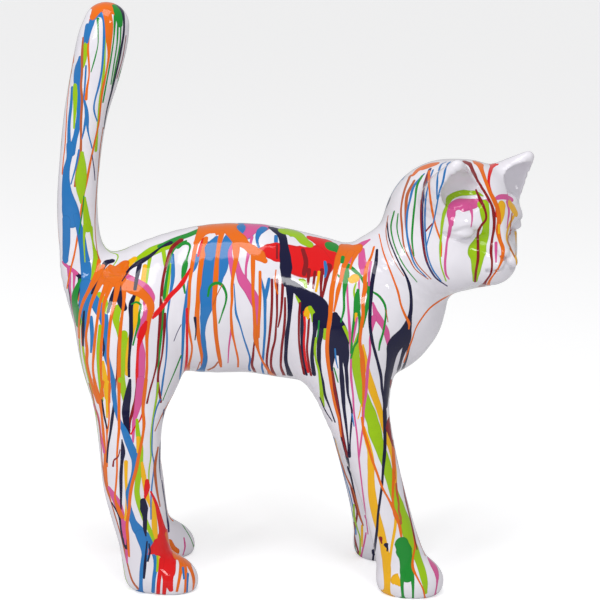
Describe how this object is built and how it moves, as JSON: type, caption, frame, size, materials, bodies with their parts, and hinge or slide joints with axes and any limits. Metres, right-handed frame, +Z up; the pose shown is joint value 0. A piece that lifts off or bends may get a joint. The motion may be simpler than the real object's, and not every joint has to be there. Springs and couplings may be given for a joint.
{
  "type": "standing cat sculpture",
  "caption": "Ornament: a cast-resin cat standing with its tail straight up and its head turned, coated in poured and dripped paint; it rests on its paws.",
  "frame": {"origin": "middle of the bounding box, in the plane of the soles", "axes": "+X the way the body faces, +Y towards the cat's left side, +Z up; the head is turned towards -Y"},
  "size_m": [0.398, 0.1344, 0.4901],
  "materials": {
    "resin": "high gloss lacquer over white, with poured paint in many colours"
  },
  "bodies": {
    "root": {"cat": "resin"}
  },
  "joints": []
}
